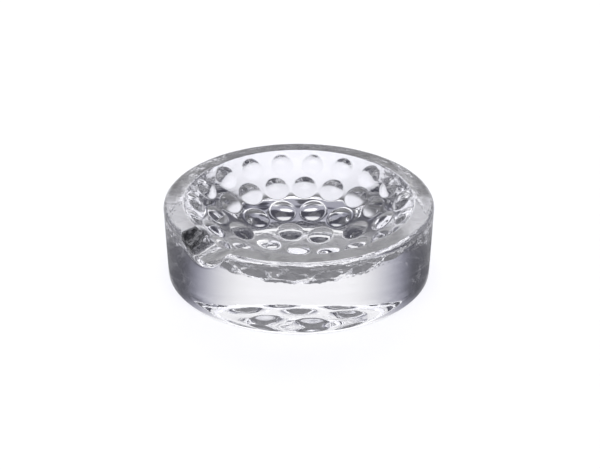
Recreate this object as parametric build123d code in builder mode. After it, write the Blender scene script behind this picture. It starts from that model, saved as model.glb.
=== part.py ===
"""A heavy round dish of pressed glass: a bowl studded with round bosses, and one resting groove.

Millimetres. The origin is the centre of the face that the dish stands on, +Z is up, and the
groove leaves the bowl towards -Y. The dish is one piece of glass, so it is one solid.
"""

from build123d import *

import os
from math import asin, cos, degrees, sin, sqrt

# The block of glass
rim_radius = 60.0
height = 34.5
wall_draft = 1.2  # how much narrower the base is than the rim, so that the dish leaves its mould
rim_edge_radius = 2.3
base_edge_radius = 1.2

# The bowl is a cap of a sphere
mouth_radius = 51.2
floor_thickness = 8.8
lip_radius = 0.9

# Round bosses raised in the bowl, ring by ring: how many, how far up the bowl's curve they
# stand, and how wide their feet are. Both are shares of the curve from the bowl's lowest point
# to its mouth, so the pattern always fills the bowl.
boss_rings = (
    (1, 0.0, 0.194),
    (6, 0.239, 0.194),
    (12, 0.465, 0.2),
    (18, 0.683, 0.185),
    (20, 0.883, 0.17),
)
boss_height = 2.2
boss_root = 1.0  # how deep each boss goes on into the glass that it stands on

# The resting groove: a round-bottomed channel with soft shoulders
groove_radius = 14.7
groove_depth = 8.8
shoulder_radius = 1.3

# Worked out from the sizes above
base_radius = rim_radius - wall_draft
bowl_depth = height - floor_thickness
bowl_radius = (mouth_radius**2 + bowl_depth**2) / (2 * bowl_depth)
bowl_centre_height = floor_thickness + bowl_radius
mouth_tilt = asin(mouth_radius / bowl_radius)
bowl_curve = bowl_radius * mouth_tilt
groove_bottom = height - groove_depth
groove_centre_height = groove_bottom + groove_radius
shoulder_reach = groove_radius + shoulder_radius
shoulder_rise = groove_centre_height - height + shoulder_radius
shoulder_offset = sqrt(shoulder_reach**2 - shoulder_rise**2)
touch_x = shoulder_offset * groove_radius / shoulder_reach
touch_z = groove_centre_height - shoulder_rise * groove_radius / shoulder_reach
over_rim = height + groove_depth

with BuildPart() as glass_dish:
    # The turned body: base, wall, flat rim and the round of the bowl
    with BuildSketch(Plane.XZ) as body_section:
        with BuildLine():
            base_line = Line((0, 0), (base_radius, 0))
            wall_line = Line(base_line @ 1, (rim_radius, height))
            rim_line = Line(wall_line @ 1, (mouth_radius, height))
            bowl_line = RadiusArc(rim_line @ 1, (0, floor_thickness), bowl_radius)
            Line(bowl_line @ 1, base_line @ 0)
        make_face()
        # Each round makes the section's corners anew, so each looks for its own corner
        for corner, edge_radius in (
            (wall_line @ 0, base_edge_radius),
            (wall_line @ 1, rim_edge_radius),
            (rim_line @ 1, lip_radius),
        ):
            fillet(body_section.vertices().sort_by_distance(corner)[0], edge_radius)
    revolve(axis=Axis.Z)

    # The bosses: each is a cap of a ball, leaning so that it points at the bowl's own centre
    for ring_count, way_up, foot_share in boss_rings:
        tilt = way_up * mouth_tilt
        foot_reach = foot_share * bowl_curve / 2
        foot_drop = bowl_radius - sqrt(bowl_radius**2 - foot_reach**2)
        cap_height = boss_height - foot_drop
        ball_radius = (cap_height**2 + foot_reach**2) / (2 * cap_height)
        ball_distance = bowl_radius - boss_height + ball_radius
        root_latitude = degrees(asin((ball_radius - boss_height - boss_root) / ball_radius))
        ring_height = bowl_centre_height - ball_distance * cos(tilt)
        ring_radius = ball_distance * sin(tilt)
        lean = (0, -degrees(tilt), 0)
        with Locations((0, 0, ring_height)):
            with PolarLocations(ring_radius, ring_count, start_angle=90):
                Sphere(ball_radius, arc_size1=root_latitude, rotation=lean, align=None)

    # The groove, from the middle of the bowl out through the wall
    with BuildSketch(Plane.XZ):
        with BuildLine():
            channel = ThreePointArc((-touch_x, touch_z), (0, groove_bottom), (touch_x, touch_z))
            right_shoulder = RadiusArc(channel @ 1, (shoulder_offset, height), -shoulder_radius)
            over_line = Polyline(
                right_shoulder @ 1,
                (shoulder_offset, over_rim),
                (-shoulder_offset, over_rim),
                (-shoulder_offset, height),
            )
            RadiusArc(over_line @ 1, channel @ 0, -shoulder_radius)
        make_face()
    extrude(amount=rim_radius + groove_radius, mode=Mode.SUBTRACT)

glass_dish.part.label = "glass_dish"

os.makedirs("parts", exist_ok=True)
export_step(glass_dish.part, "parts/glass_dish.step")
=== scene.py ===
"""A heavy dish of clear pressed glass on a pale table: studded bowl, flat rim, one resting groove.

The whole dish is one mesh. Its shape follows rules, so geometry nodes make it: a section turned
round the middle, rings of round bosses raised in the bowl, and a round channel across the rim.
"""

import math

import bpy
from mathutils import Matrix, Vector


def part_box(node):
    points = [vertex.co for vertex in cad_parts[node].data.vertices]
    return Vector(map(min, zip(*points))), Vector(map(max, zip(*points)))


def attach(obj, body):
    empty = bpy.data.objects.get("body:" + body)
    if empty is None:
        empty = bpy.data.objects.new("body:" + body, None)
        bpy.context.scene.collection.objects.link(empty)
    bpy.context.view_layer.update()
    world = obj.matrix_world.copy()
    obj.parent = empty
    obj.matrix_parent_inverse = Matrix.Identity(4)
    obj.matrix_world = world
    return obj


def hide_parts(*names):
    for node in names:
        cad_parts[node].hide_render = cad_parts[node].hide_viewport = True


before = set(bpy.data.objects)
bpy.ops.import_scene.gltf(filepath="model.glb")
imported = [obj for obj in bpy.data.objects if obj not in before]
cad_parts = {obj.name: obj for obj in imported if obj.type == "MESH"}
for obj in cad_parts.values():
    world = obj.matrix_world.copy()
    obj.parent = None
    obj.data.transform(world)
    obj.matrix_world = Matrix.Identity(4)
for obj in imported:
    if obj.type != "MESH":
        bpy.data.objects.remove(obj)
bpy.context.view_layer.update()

MM = 0.001
DEGREE = math.pi / 180

# The block of glass. Its height comes from the frame.
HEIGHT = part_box("glass_dish")[1].z
RIM_RADIUS = 60.0 * MM
BASE_RADIUS = 58.8 * MM
RIM_EDGE = 2.3 * MM
BASE_EDGE = 1.2 * MM
LIP_EDGE = 0.9 * MM

# The bowl
MOUTH_RADIUS = 51.2 * MM
FLOOR = 8.8 * MM

# Rings of bosses: how many, how far up the bowl's curve they stand, and how wide their feet are,
# both as shares of the curve from the bowl's lowest point to its mouth
BOSS_RINGS = (
    (1, 0.0, 0.194),
    (6, 0.239, 0.194),
    (12, 0.465, 0.2),
    (18, 0.683, 0.185),
    (20, 0.883, 0.17),
)
BOSS_HEIGHT = 2.2 * MM
BOSS_SOFTNESS = 0.6 * MM

# The groove
GROOVE_RADIUS = 14.7 * MM
GROOVE_DEPTH = 8.8 * MM
SHOULDER = 1.3 * MM
GROOVE_SOFTNESS = 2.4 * MM

# Clear glass with a faint lilac cast, and how strongly it bends light
GLASS_TINT = (0.95, 0.95, 0.978, 1.0)
GLASS_INDEX = 1.52

# How uneven the glass and the table are, in millimetres of rise and fall
WALL_STREAKS = 0.01
RIM_WAVES = 0.22
BOWL_SWELL = 0.06
TABLE_GRAIN = 0.02

# How rough the polish is where it is smeared, and at the foot where it is rubbed
SMEAR_ROUGHNESS = 0.012
FOOT_ROUGHNESS = 0.03

# How finely the glass is turned, and how much closer its segments lie beside the groove
SEGMENTS = 640
CROWDING = 0.3

# How many steps each part of the turned section has
BASE_STEPS = 6
BASE_EDGE_STEPS = 5
WALL_STEPS = 8
RIM_EDGE_STEPS = 10
RIM_STEPS = 8
LIP_STEPS = 6
BOWL_STEPS = 100

# Points closer than this are one point, at the seam and at the two middles
SEAM_GAP = 1e-7
# A point this much past the bowl's own radius still counts as on the bowl
BOWL_MARGIN = 1.00001

# The table: its paint, how far it reaches, and the gap under the glass that keeps them apart
TABLE_PAINT = (0.85, 0.85, 0.875, 1.0)
TABLE_REACH = 6.0
TABLE_GAP = 0.02 * MM
# Painted light and shade on the table, seen only by the glass: the darkest tone anywhere, which
# leaves the sides in painted shade, and how much painted light is added behind and in front
PAINTED_TONE_LEAST = 0.2
PAINTED_LIGHT_BEHIND = 0.85
PAINTED_LIGHT_IN_FRONT = 0.35
# Painted shadow under the dish: its tone in the middle, painted light added near the sides, and
# more painted shade at the far half
PAINTED_SHADOW_UNDER_DISH = 0.24
PAINTED_LIGHT_UNDER_SIDES = 0.4
PAINTED_SHADE_UNDER_FAR_HALF = 0.09

# How bright each light is round the dish
ROOM = 0.08
PAPER = 0.92
PAPER_FOOT = 0.75
HORIZON = 0.8
WINDOW = 0.35
FRONT = 1.45
OVERHEAD = 0.9
DIM_COLOUR = (0.91, 0.91, 1.13, 1.0)
BRIGHT_COLOUR = (1.0, 0.998, 1.0, 1.0)
WASH = 2.6

# Enough bounces for light to find its way out of thick glass
BOUNCES = 24
GLOSSY_BOUNCES = 12

# Where the camera stands, in degrees round from the groove
VIEW_AZIMUTH = 44.0

BOWL_DEPTH = HEIGHT - FLOOR
BOWL_RADIUS = (MOUTH_RADIUS**2 + BOWL_DEPTH**2) / (2 * BOWL_DEPTH)
BOWL_CENTRE = FLOOR + BOWL_RADIUS
MOUTH_TILT = math.asin(MOUTH_RADIUS / BOWL_RADIUS)
BOWL_CURVE = BOWL_RADIUS * MOUTH_TILT


# ---------------------------------------------------------------- node arithmetic


class Value:
    """A number in a node tree. Sums, products and the functions below become Math nodes."""

    def __init__(self, socket):
        self.socket = socket

    def __add__(self, other):
        return reckon("ADD", self, other)

    def __radd__(self, other):
        return reckon("ADD", other, self)

    def __sub__(self, other):
        return reckon("SUBTRACT", self, other)

    def __rsub__(self, other):
        return reckon("SUBTRACT", other, self)

    def __mul__(self, other):
        return reckon("MULTIPLY", self, other)

    def __rmul__(self, other):
        return reckon("MULTIPLY", other, self)

    def __truediv__(self, other):
        return reckon("DIVIDE", self, other)


def plug(socket, value):
    """Joins a value to a node's input, or types a plain number into it."""
    if isinstance(value, Value):
        socket.id_data.links.new(value.socket, socket)
    else:
        socket.default_value = value


def reckon(operation, *values):
    """A Math node on these values."""
    tree = next(v for v in values if isinstance(v, Value)).socket.id_data
    node = tree.nodes.new("ShaderNodeMath")
    node.operation = operation
    for socket, value in zip(node.inputs, values):
        plug(socket, value)
    return Value(node.outputs[0])


def parts_of(vector):
    """The x, y and z of a vector value."""
    node = vector.socket.id_data.nodes.new("ShaderNodeSeparateXYZ")
    plug(node.inputs[0], vector)
    return [Value(out) for out in node.outputs]


def vector_of(tree, x, y, z):
    node = tree.nodes.new("ShaderNodeCombineXYZ")
    for socket, value in zip(node.inputs, (x, y, z)):
        plug(socket, value)
    return Value(node.outputs[0])


def either(test, if_true, if_false):
    """One value where the test is 1, the other where it is 0."""
    return test * if_true + (1.0 - test) * if_false


def root_of(value):
    """Square root, nought where the value is negative."""
    return reckon("SQRT", reckon("MAXIMUM", value, 0.0))


def ease(value, low, high):
    """0 below low, 1 above high, a smooth rise between; low may be above high."""
    tree = value.socket.id_data
    node = tree.nodes.new("ShaderNodeMapRange")
    node.interpolation_type = "SMOOTHSTEP"
    plug(node.inputs["Value"], value)
    node.inputs["From Min"].default_value = low
    node.inputs["From Max"].default_value = high
    return Value(node.outputs["Result"])


class Tree:
    """A geometry node group with named inputs and one geometry output."""

    def __init__(self, name, **inputs):
        self.tree = bpy.data.node_groups.new(name, "GeometryNodeTree")
        face = self.tree.interface
        face.new_socket("Geometry", in_out="INPUT", socket_type="NodeSocketGeometry")
        kinds = {float: "NodeSocketFloat", int: "NodeSocketInt", type(None): "NodeSocketMaterial"}
        for label, default in inputs.items():
            kind = kinds[type(default)]
            socket = face.new_socket(label.replace("_", " "), in_out="INPUT", socket_type=kind)
            if default is not None:
                socket.default_value = default
        face.new_socket("Geometry", in_out="OUTPUT", socket_type="NodeSocketGeometry")
        self.entry = self.tree.nodes.new("NodeGroupInput")
        self.leave = self.tree.nodes.new("NodeGroupOutput")

    def __getitem__(self, label):
        return Value(self.entry.outputs[label])

    def node(self, kind, settings=None, **plugs):
        """A node with its settings made and its named inputs filled; _ stands for a space."""
        node = self.tree.nodes.new(kind)
        for key, value in (settings or {}).items():
            setattr(node, key, value)
        for label, value in plugs.items():
            plug(node.inputs[label.replace("_", " ")], value)
        return node

    def position(self):
        return parts_of(Value(self.node("GeometryNodeInputPosition").outputs[0]))

    def move(self, geometry, x, y, z):
        """The geometry with its points put at x, y, z."""
        place = vector_of(self.tree, x, y, z)
        node = self.node("GeometryNodeSetPosition", Geometry=geometry, Position=place)
        return Value(node.outputs[0])

    def finish(self, geometry):
        plug(self.leave.inputs[0], geometry)
        return self.tree


# ---------------------------------------------------------------- the shape


def arc(centre, radius, start, end, steps):
    """Points round an arc, from one angle to another in degrees, both ends among them."""
    turns = [math.radians(start + (end - start) * i / steps) for i in range(steps + 1)]
    return [(centre[0] + radius * math.cos(t), centre[1] + radius * math.sin(t)) for t in turns]


def straight(start, end, steps):
    """Points along a straight run, its ends left out."""
    return [
        (start[0] + (end[0] - start[0]) * i / steps, start[1] + (end[1] - start[1]) * i / steps)
        for i in range(1, steps)
    ]


def turned_section():
    """Half the dish's section, from under its middle, up the wall, over the rim, into the bowl."""
    draft = math.atan2(RIM_RADIUS - BASE_RADIUS, HEIGHT)

    def inside_wall(height, edge):
        """Where an edge's arc is centred, to touch the sloping wall at that height."""
        return BASE_RADIUS + (height * math.sin(draft) - edge) / math.cos(draft), height

    slope = math.degrees(draft)
    base_edge = arc(inside_wall(BASE_EDGE, BASE_EDGE), BASE_EDGE, -90, -slope, BASE_EDGE_STEPS)
    rim_centre = inside_wall(HEIGHT - RIM_EDGE, RIM_EDGE)
    rim_edge = arc(rim_centre, RIM_EDGE, -slope, 90, RIM_EDGE_STEPS)
    lip_height = HEIGHT - LIP_EDGE
    lip_reach = math.sqrt((BOWL_RADIUS + LIP_EDGE) ** 2 - (BOWL_CENTRE - lip_height) ** 2)
    lip_turn = math.degrees(math.atan2(BOWL_CENTRE - lip_height, -lip_reach))
    lip_edge = arc((lip_reach, lip_height), LIP_EDGE, 90, lip_turn, LIP_STEPS)
    bowl = arc((0, BOWL_CENTRE), BOWL_RADIUS, lip_turn - 180, -90, BOWL_STEPS)
    middle = (0.0, 0.0)
    return [
        middle,
        *straight(middle, base_edge[0], BASE_STEPS),
        *base_edge,
        *straight(base_edge[-1], rim_edge[0], WALL_STEPS),
        *rim_edge,
        *straight(rim_edge[-1], lip_edge[0], RIM_STEPS),
        *lip_edge,
        *bowl[1:-1],
        (0.0, FLOOR),
    ]


def boss_ring_group():
    """Raises a ring of equal round bosses in the bowl, each a cap of a ball, with a soft foot."""
    group = Tree(
        "Raise a ring of bosses",
        Count=1.0,
        Tilt=0.0,
        Foot=0.01,
        Rise=0.002,
        Softness=0.001,
        Bowl_radius=0.06,
        Bowl_centre=0.07,
    )
    half, bowl, tilt = group["Foot"] * 0.5, group["Bowl radius"], group["Tilt"]
    cap = root_of(bowl * bowl - half * half) - bowl + group["Rise"]
    ball = (cap * cap + half * half) / (cap * 2.0)
    reach = bowl - group["Rise"] + ball
    x, y, z = group.position()
    depth = z - group["Bowl centre"]
    turn = reckon("ARCTAN2", y, x) - math.pi / 2
    step = reckon("DIVIDE", 2 * math.pi, group["Count"])
    off_ball = reckon("WRAP", turn, step * 0.5, step * -0.5)
    heading = turn - off_ball + math.pi / 2
    sideways = reach * reckon("SINE", tilt)
    ball_x = sideways * reckon("COSINE", heading)
    ball_y = sideways * reckon("SINE", heading)
    ball_z = reach * reckon("COSINE", tilt) * -1.0
    distance = root_of(x * x + y * y + depth * depth)
    towards = (x * ball_x + y * ball_y + depth * ball_z) / distance
    inside = ball * ball - reach * reach + towards * towards
    hit = reckon("GREATER_THAN", inside, 0.0) * reckon("GREATER_THAN", towards, 0.0)
    surface = either(hit, towards - root_of(inside), 1.0)
    in_bowl = reckon("LESS_THAN", distance, bowl * BOWL_MARGIN)
    raised = reckon("SMOOTH_MIN", distance, surface, group["Softness"])
    share = either(in_bowl, raised / distance, 1.0)
    moved = group.move(
        group["Geometry"], x * share, y * share, group["Bowl centre"] + depth * share
    )
    return group.finish(moved)


def groove_group():
    """Presses a round channel with soft shoulders across the rim, towards -Y."""
    group = Tree(
        "Press the groove",
        Radius=0.015,
        Depth=0.009,
        Shoulder=0.001,
        Softness=0.001,
        Height=0.034,
        Base_radius=0.059,
        Rim_radius=0.06,
        Mouth_radius=0.05,
        Rim_edge=0.002,
        Base_edge=0.001,
    )
    height, radius, shoulder = group["Height"], group["Radius"], group["Shoulder"]
    centre = height - group["Depth"] + radius
    reach = radius + shoulder
    rise = centre - height + shoulder
    outer_touch = root_of(reach * reach - rise * rise)
    inner_touch = outer_touch * radius / reach
    x, y, z = group.position()
    across = reckon("ABSOLUTE", x)
    channel = centre - root_of(radius * radius - x * x)
    bend = outer_touch - across
    rounding = height - shoulder + root_of(shoulder * shoulder - bend * bend)
    cut = either(reckon("LESS_THAN", across, inner_touch), channel, rounding)
    in_cut = reckon("LESS_THAN", across, outer_touch) * reckon("LESS_THAN", y, 0.0)
    cut = either(in_cut, cut, height)
    lowered = height - cut
    # Inside the rim the glass is cut off at the channel; outside it the wall is pressed down whole
    inner = reckon("SMOOTH_MIN", z, cut, reckon("MINIMUM", group["Softness"], lowered))
    low, high = group["Base edge"], height - group["Rim edge"]
    share = reckon("MINIMUM", reckon("MAXIMUM", (z - low) / (high - low), 0.0), 1.0)
    outer = z - lowered * share
    from_middle = root_of(x * x + y * y)
    half_rim = (group["Mouth radius"] + group["Rim radius"]) * 0.5
    on_wall = reckon("GREATER_THAN", from_middle, half_rim)
    pressed = either(on_wall, outer, inner)
    widening = (group["Rim radius"] - group["Base radius"]) / height
    wall_shift = (pressed - z) * widening * on_wall * share
    scale = 1.0 + wall_shift / reckon("MAXIMUM", from_middle, 0.001)
    return group.finish(group.move(group["Geometry"], x * scale, y * scale, pressed))


def dish_tree(rings, boss_group, groove):
    """The whole rule: turn the section, raise each ring of bosses, press the groove."""
    sizes = dict(
        Segments=64,
        Rows=10,
        Crowding=0.0,
        Boss_height=0.002,
        Boss_softness=0.001,
        Bowl_radius=0.06,
        Bowl_centre=0.07,
        Height=0.034,
        Base_radius=0.059,
        Rim_radius=0.06,
        Mouth_radius=0.05,
        Rim_edge=0.002,
        Base_edge=0.001,
        Groove_radius=0.015,
        Groove_depth=0.009,
        Shoulder=0.001,
        Groove_softness=0.001,
        Glass=None,
    )
    whole = Tree("Pressed glass dish", **sizes)
    rows = whole["Rows"]
    grid = whole.node(
        "GeometryNodeMeshGrid",
        Size_X=1.0,
        Size_Y=1.0,
        Vertices_X=whole["Segments"] + 1.0,
        Vertices_Y=rows,
    )
    u, v, _ = whole.position()
    along = u + 0.5
    row = reckon("ROUND", (v + 0.5) * (rows - 1.0))
    as_places = {"data_type": "FLOAT_VECTOR"}
    sample = whole.node("GeometryNodeSampleIndex", as_places, Geometry=whole["Geometry"])
    section_place = whole.node("GeometryNodeInputPosition").outputs[0]
    whole.tree.links.new(section_place, sample.inputs["Value"])
    plug(sample.inputs["Index"], row)
    section_reach, _, section_height = parts_of(Value(sample.outputs[0]))
    crowd = whole["Crowding"] * reckon("SINE", along * (2 * math.pi)) / (2 * math.pi)
    turn = (along - crowd) * (2 * math.pi) - math.pi / 2
    turned = whole.move(
        Value(grid.outputs[0]),
        section_reach * reckon("COSINE", turn),
        section_reach * reckon("SINE", turn),
        section_height,
    )
    seam = whole.node("GeometryNodeMergeByDistance", Geometry=turned, Distance=SEAM_GAP)
    closed = Value(seam.outputs[0])

    def use(group, geometry, **plugs):
        node = whole.tree.nodes.new("GeometryNodeGroup")
        node.node_tree = group
        plug(node.inputs["Geometry"], geometry)
        for label, value in plugs.items():
            plug(node.inputs[label.replace("_", " ")], value)
        return Value(node.outputs[0])

    pressed = closed
    for count, way_up, foot_share in rings:
        pressed = use(
            boss_group,
            pressed,
            Count=float(count),
            Tilt=way_up * MOUTH_TILT,
            Foot=foot_share * BOWL_CURVE,
            Rise=whole["Boss height"],
            Softness=whole["Boss softness"],
            Bowl_radius=whole["Bowl radius"],
            Bowl_centre=whole["Bowl centre"],
        )
    pressed = use(
        groove,
        pressed,
        Radius=whole["Groove radius"],
        Depth=whole["Groove depth"],
        Shoulder=whole["Shoulder"],
        Softness=whole["Groove softness"],
        Height=whole["Height"],
        Base_radius=whole["Base radius"],
        Rim_radius=whole["Rim radius"],
        Mouth_radius=whole["Mouth radius"],
        Rim_edge=whole["Rim edge"],
        Base_edge=whole["Base edge"],
    )
    smooth = Value(whole.node("GeometryNodeSetShadeSmooth", Geometry=pressed).outputs[0])
    real = Value(whole.node("GeometryNodeRealizeInstances", Geometry=smooth).outputs[0])
    coated = whole.node("GeometryNodeSetMaterial", Geometry=real, Material=whole["Glass"])
    return whole.finish(Value(coated.outputs[0]))


def glass_dish(glass):
    """The dish: the section as a row of points, the rule run on it, and the result as a mesh."""
    section = turned_section()
    seed = bpy.data.meshes.new("turned_section")
    seed.from_pydata([(reach, 0.0, height) for reach, height in section], [], [])
    holder = bpy.data.objects.new("turned_section", seed)
    bpy.context.scene.collection.objects.link(holder)
    tree = dish_tree(BOSS_RINGS, boss_ring_group(), groove_group())
    modifier = holder.modifiers.new("Pressing", "NODES")
    modifier.node_group = tree
    sizes = {
        "Segments": SEGMENTS,
        "Rows": len(section),
        "Crowding": CROWDING,
        "Boss height": BOSS_HEIGHT,
        "Boss softness": BOSS_SOFTNESS,
        "Bowl radius": BOWL_RADIUS,
        "Bowl centre": BOWL_CENTRE,
        "Height": HEIGHT,
        "Base radius": BASE_RADIUS,
        "Rim radius": RIM_RADIUS,
        "Mouth radius": MOUTH_RADIUS,
        "Rim edge": RIM_EDGE,
        "Base edge": BASE_EDGE,
        "Groove radius": GROOVE_RADIUS,
        "Groove depth": GROOVE_DEPTH,
        "Shoulder": SHOULDER,
        "Groove softness": GROOVE_SOFTNESS,
        "Glass": glass,
    }
    sockets = {s.name: s.identifier for s in tree.interface.items_tree if s.in_out == "INPUT"}
    for label, value in sizes.items():
        modifier[sockets[label]] = value
    bpy.context.view_layer.update()
    seen = holder.evaluated_get(bpy.context.evaluated_depsgraph_get())
    mesh = bpy.data.meshes.new_from_object(seen)
    mesh.name = "pressed_glass_dish"
    bpy.data.objects.remove(holder)
    dish = bpy.data.objects.new("pressed_glass_dish", mesh)
    bpy.context.scene.collection.objects.link(dish)
    return dish


# ---------------------------------------------------------------- materials


def object_place(tree):
    """Where a point is on its own piece."""
    return parts_of(Value(tree.nodes.new("ShaderNodeTexCoord").outputs["Object"]))


def from_camera_side(azimuth, x, y):
    """How far a place is behind the dish, how far to its right, and its turn from straight behind.

    The turn is in degrees: 0 behind the dish, 90 at either side, 180 in front.
    """
    a = math.radians(azimuth)
    behind = y * math.cos(a) - x * math.sin(a)
    right = x * math.cos(a) + y * math.sin(a)
    turn = reckon("ABSOLUTE", reckon("ARCTAN2", right, behind)) * (1 / DEGREE)
    return behind, right, turn


def between(tree, amount, at_none, at_full):
    """A colour that goes from one to the other as the amount goes from 0 to 1."""
    mix = tree.nodes.new("ShaderNodeMix")
    mix.data_type = "RGBA"
    plug(mix.inputs["Factor"], amount)
    colours = [socket for socket in mix.inputs if socket.type == "RGBA"]
    colours[0].default_value, colours[1].default_value = at_none, at_full
    return next(socket for socket in mix.outputs if socket.type == "RGBA")


def raise_surface(tree, shader, rise):
    """Bumps a shader's surface by a rise given in millimetres."""
    bump = tree.nodes.new("ShaderNodeBump")
    bump.inputs["Distance"].default_value = MM
    plug(bump.inputs["Height"], rise)
    tree.links.new(bump.outputs["Normal"], shader.inputs["Normal"])


def uneven_group():
    """A slow rise and fall between -1 and 1, as wide and as tall as its inputs say, in metres."""
    tree = bpy.data.node_groups.new("Uneven surface", "ShaderNodeTree")
    for label, size in (("Width", 0.01), ("Height", 0.01), ("Fineness", 2.0)):
        socket = tree.interface.new_socket(label, in_out="INPUT", socket_type="NodeSocketFloat")
        socket.default_value = size
    tree.interface.new_socket("Rise", in_out="OUTPUT", socket_type="NodeSocketFloat")
    given = tree.nodes.new("NodeGroupInput").outputs
    width, height = Value(given["Width"]), Value(given["Height"])
    x, y, z = object_place(tree)
    noise = tree.nodes.new("ShaderNodeTexNoise")
    noise.inputs["Scale"].default_value = 1.0
    noise.inputs["Roughness"].default_value = 0.45
    plug(noise.inputs["Detail"], Value(given["Fineness"]))
    plug(noise.inputs["Vector"], vector_of(tree, x / width, y / width, z / height))
    rise = Value(noise.outputs[0]) * 2.0 - 1.0
    plug(tree.nodes.new("NodeGroupOutput").inputs[0], rise)
    return tree


def uneven(material, group, width, height, fineness=2.0):
    """Places the uneven surface in a material with its own sizes."""
    node = material.node_tree.nodes.new("ShaderNodeGroup")
    node.node_tree = group
    for label, size in (("Width", width), ("Height", height), ("Fineness", fineness)):
        node.inputs[label].default_value = size
    return Value(node.outputs["Rise"])


def clear_glass(group):
    """Clear pressed glass: level streaks in the wall, waves by the rim, a slow swell all over."""
    material = bpy.data.materials.new("clear_pressed_glass")
    material.use_nodes = True
    tree = material.node_tree
    shader = tree.nodes["Principled BSDF"]
    shader.inputs["Base Color"].default_value = GLASS_TINT
    shader.inputs["IOR"].default_value = GLASS_INDEX
    shader.inputs["Transmission Weight"].default_value = 1.0
    x, y, z = object_place(tree)
    reach = root_of(x * x + y * y)
    high_up = ease(z, HEIGHT - 13.0 * MM, HEIGHT - 3.0 * MM)
    near_rim = high_up * ease(reach, 0.68 * RIM_RADIUS, 0.85 * RIM_RADIUS)
    streaks = uneven(material, group, 24.0 * MM, 2.6 * MM) * WALL_STREAKS
    waves = uneven(material, group, 5.0 * MM, 4.0 * MM, 3.0) * near_rim * RIM_WAVES
    swell = uneven(material, group, 20.0 * MM, 20.0 * MM, 1.0) * BOWL_SWELL
    raise_surface(tree, shader, streaks + waves + swell)
    smeared = reckon("MAXIMUM", uneven(material, group, 9.0 * MM, 9.0 * MM, 4.0), 0.0)
    foot = ease(z, 1.0 * MM, 0.1 * MM) * ease(reach, 0.93 * BASE_RADIUS, 0.99 * BASE_RADIUS)
    plug(shader.inputs["Roughness"], smeared * SMEAR_ROUGHNESS + foot * FOOT_ROUGHNESS)
    return material


def table_top(azimuth, group):
    """Pale and plain to look at; to the glass it shows painted shade, darker at its sides as in a
    dim room, with a painted shadow under the dish.
    """
    material = bpy.data.materials.new("pale_table_painted_shade")
    material.use_nodes = True
    tree = material.node_tree
    shader = tree.nodes["Principled BSDF"]
    x, y, _ = object_place(tree)
    behind, right, turn = from_camera_side(azimuth, x, y)
    reach = root_of(x * x + y * y)
    # Painted light and shade round the dish: lighter behind and in front, darker at the sides
    painted_light_behind = ease(turn, 75.0, 35.0) * PAINTED_LIGHT_BEHIND
    painted_light_in_front = ease(turn, 110.0, 150.0) * PAINTED_LIGHT_IN_FRONT
    painted_tone_around = painted_light_behind + painted_light_in_front + PAINTED_TONE_LEAST
    # Painted shadow under the dish, lighter near its sides and darker at its far half
    near_sides = ease(reckon("ABSOLUTE", right), 0.7 * RIM_RADIUS, 0.9 * RIM_RADIUS)
    far_half = ease(behind, 0.3 * RIM_RADIUS, 0.55 * RIM_RADIUS)
    painted_light_from_sides = PAINTED_LIGHT_UNDER_SIDES * near_sides * (1.0 - far_half)
    painted_shadow_beneath = PAINTED_SHADOW_UNDER_DISH + painted_light_from_sides - PAINTED_SHADE_UNDER_FAR_HALF * far_half
    under_dish = ease(reach, 1.02 * RIM_RADIUS, 0.98 * RIM_RADIUS)
    painted_shade_for_glass = either(under_dish, painted_shadow_beneath, painted_tone_around)
    # The camera sees the plain pale paint; the painted shade is seen only from the glass
    to_camera = Value(tree.nodes.new("ShaderNodeLightPath").outputs["Is Camera Ray"])
    shade = reckon("MAXIMUM", to_camera, painted_shade_for_glass)
    mottle = uneven(material, group, 70.0 * MM, 70.0 * MM, 5.0)
    painted = shade * (0.985 + 0.015 * mottle)
    paint = between(tree, painted, (0.0, 0.0, 0.0, 1.0), TABLE_PAINT)
    tree.links.new(paint, shader.inputs["Base Color"])
    plug(shader.inputs["Roughness"], 0.78 + 0.08 * mottle)
    grain = uneven(material, group, 1.5 * MM, 1.5 * MM, 4.0)
    raise_surface(tree, shader, grain * TABLE_GRAIN)
    shader.inputs["Specular IOR Level"].default_value = 0.1
    return material


# ---------------------------------------------------------------- studio


def camera(azimuth, elevation, distance, target, lens, shift):
    """The camera, turned round from the groove and up from level, both in degrees."""
    data = bpy.data.cameras.new("camera")
    data.lens = lens
    data.sensor_width = 36.0
    data.shift_x, data.shift_y = shift
    eye = bpy.data.objects.new("camera", data)
    bpy.context.scene.collection.objects.link(eye)
    a, e = math.radians(azimuth), math.radians(elevation)
    away = Vector((math.sin(a) * math.cos(e), -math.cos(a) * math.cos(e), math.sin(e)))
    eye.location = Vector(target) + away * distance
    eye.rotation_euler = away.to_track_quat("Z", "Y").to_euler()
    bpy.context.scene.camera = eye


def table(material):
    """The flat table top that the dish stands on."""
    mesh = bpy.data.meshes.new("table")
    reach = TABLE_REACH
    corners = [(-reach, -reach, 0), (reach, -reach, 0), (reach, reach, 0), (-reach, reach, 0)]
    mesh.from_pydata(corners, [], [(0, 1, 2, 3)])
    mesh.materials.append(material)
    top = bpy.data.objects.new("table", mesh)
    top.location.z = -TABLE_GAP
    bpy.context.scene.collection.objects.link(top)


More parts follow.
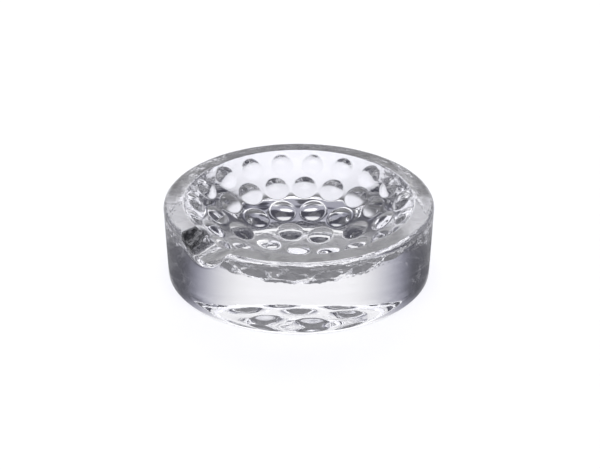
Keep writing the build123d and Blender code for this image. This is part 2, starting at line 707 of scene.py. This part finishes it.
def studio(azimuth):
    """A dim room, with a bright sweep of paper behind the dish and soft lights round it.

    Each light is bright between the angles given, in degrees: its turn from straight behind the
    dish, or its height above level.
    """
    world = bpy.data.worlds.new("studio")
    bpy.context.scene.world = world
    world.use_nodes = True
    tree = world.node_tree
    x, y, z = parts_of(Value(tree.nodes.new("ShaderNodeTexCoord").outputs["Generated"]))
    _, _, turn = from_camera_side(azimuth, x, y)
    height = reckon("ARCSINE", z) * (1 / DEGREE)
    paper = ease(turn, 57.0, 13.0) * (PAPER + PAPER_FOOT * ease(height, 22.0, 0.0))
    paper = paper * ease(height, 60.0, 56.0)
    horizon = ease(height, 11.0, 2.0) * HORIZON
    window = ease(turn, 108.0, 126.0) * ease(height, 42.0, 45.0) * ease(height, 62.0, 59.0)
    front = ease(turn, 90.0, 135.0) * ease(height, 53.0, 61.0) * FRONT
    overhead = ease(height, 76.0, 86.0) * OVERHEAD
    low_lights = reckon("MAXIMUM", paper, horizon) + window * WINDOW
    light = low_lights + reckon("MAXIMUM", front, overhead) + ROOM
    back = tree.nodes["Background"]
    colour = between(tree, ease(light, 0.0, 1.0), DIM_COLOUR, BRIGHT_COLOUR)
    tree.links.new(colour, back.inputs["Color"])
    plug(back.inputs["Strength"], light)


def table_wash():
    """A wide soft light on the table, which the glass doesn't show and which casts no shadow."""
    data = bpy.data.lights.new("table_wash", "SUN")
    data.energy = WASH
    data.angle = math.radians(12)
    data.use_shadow = False
    lamp = bpy.data.objects.new("table_wash", data)
    bpy.context.scene.collection.objects.link(lamp)
    lamp.visible_glossy = False
    lamp.visible_transmission = False


camera(
    azimuth=VIEW_AZIMUTH,
    elevation=28.18,
    distance=12 * RIM_RADIUS,
    target=(0, 0, 0.25 * RIM_RADIUS),
    lens=96.2,
    shift=(0.0019, 0.0051),
)

uneven_surface = uneven_group()
dish = glass_dish(clear_glass(uneven_surface))
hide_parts("glass_dish")
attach(dish, "root")

table(table_top(VIEW_AZIMUTH, uneven_surface))
studio(VIEW_AZIMUTH)
table_wash()
bpy.context.scene.view_settings.view_transform = "Standard"
cycles = bpy.context.scene.cycles
cycles.max_bounces = BOUNCES
cycles.glossy_bounces = GLOSSY_BOUNCES
cycles.transmission_bounces = BOUNCES
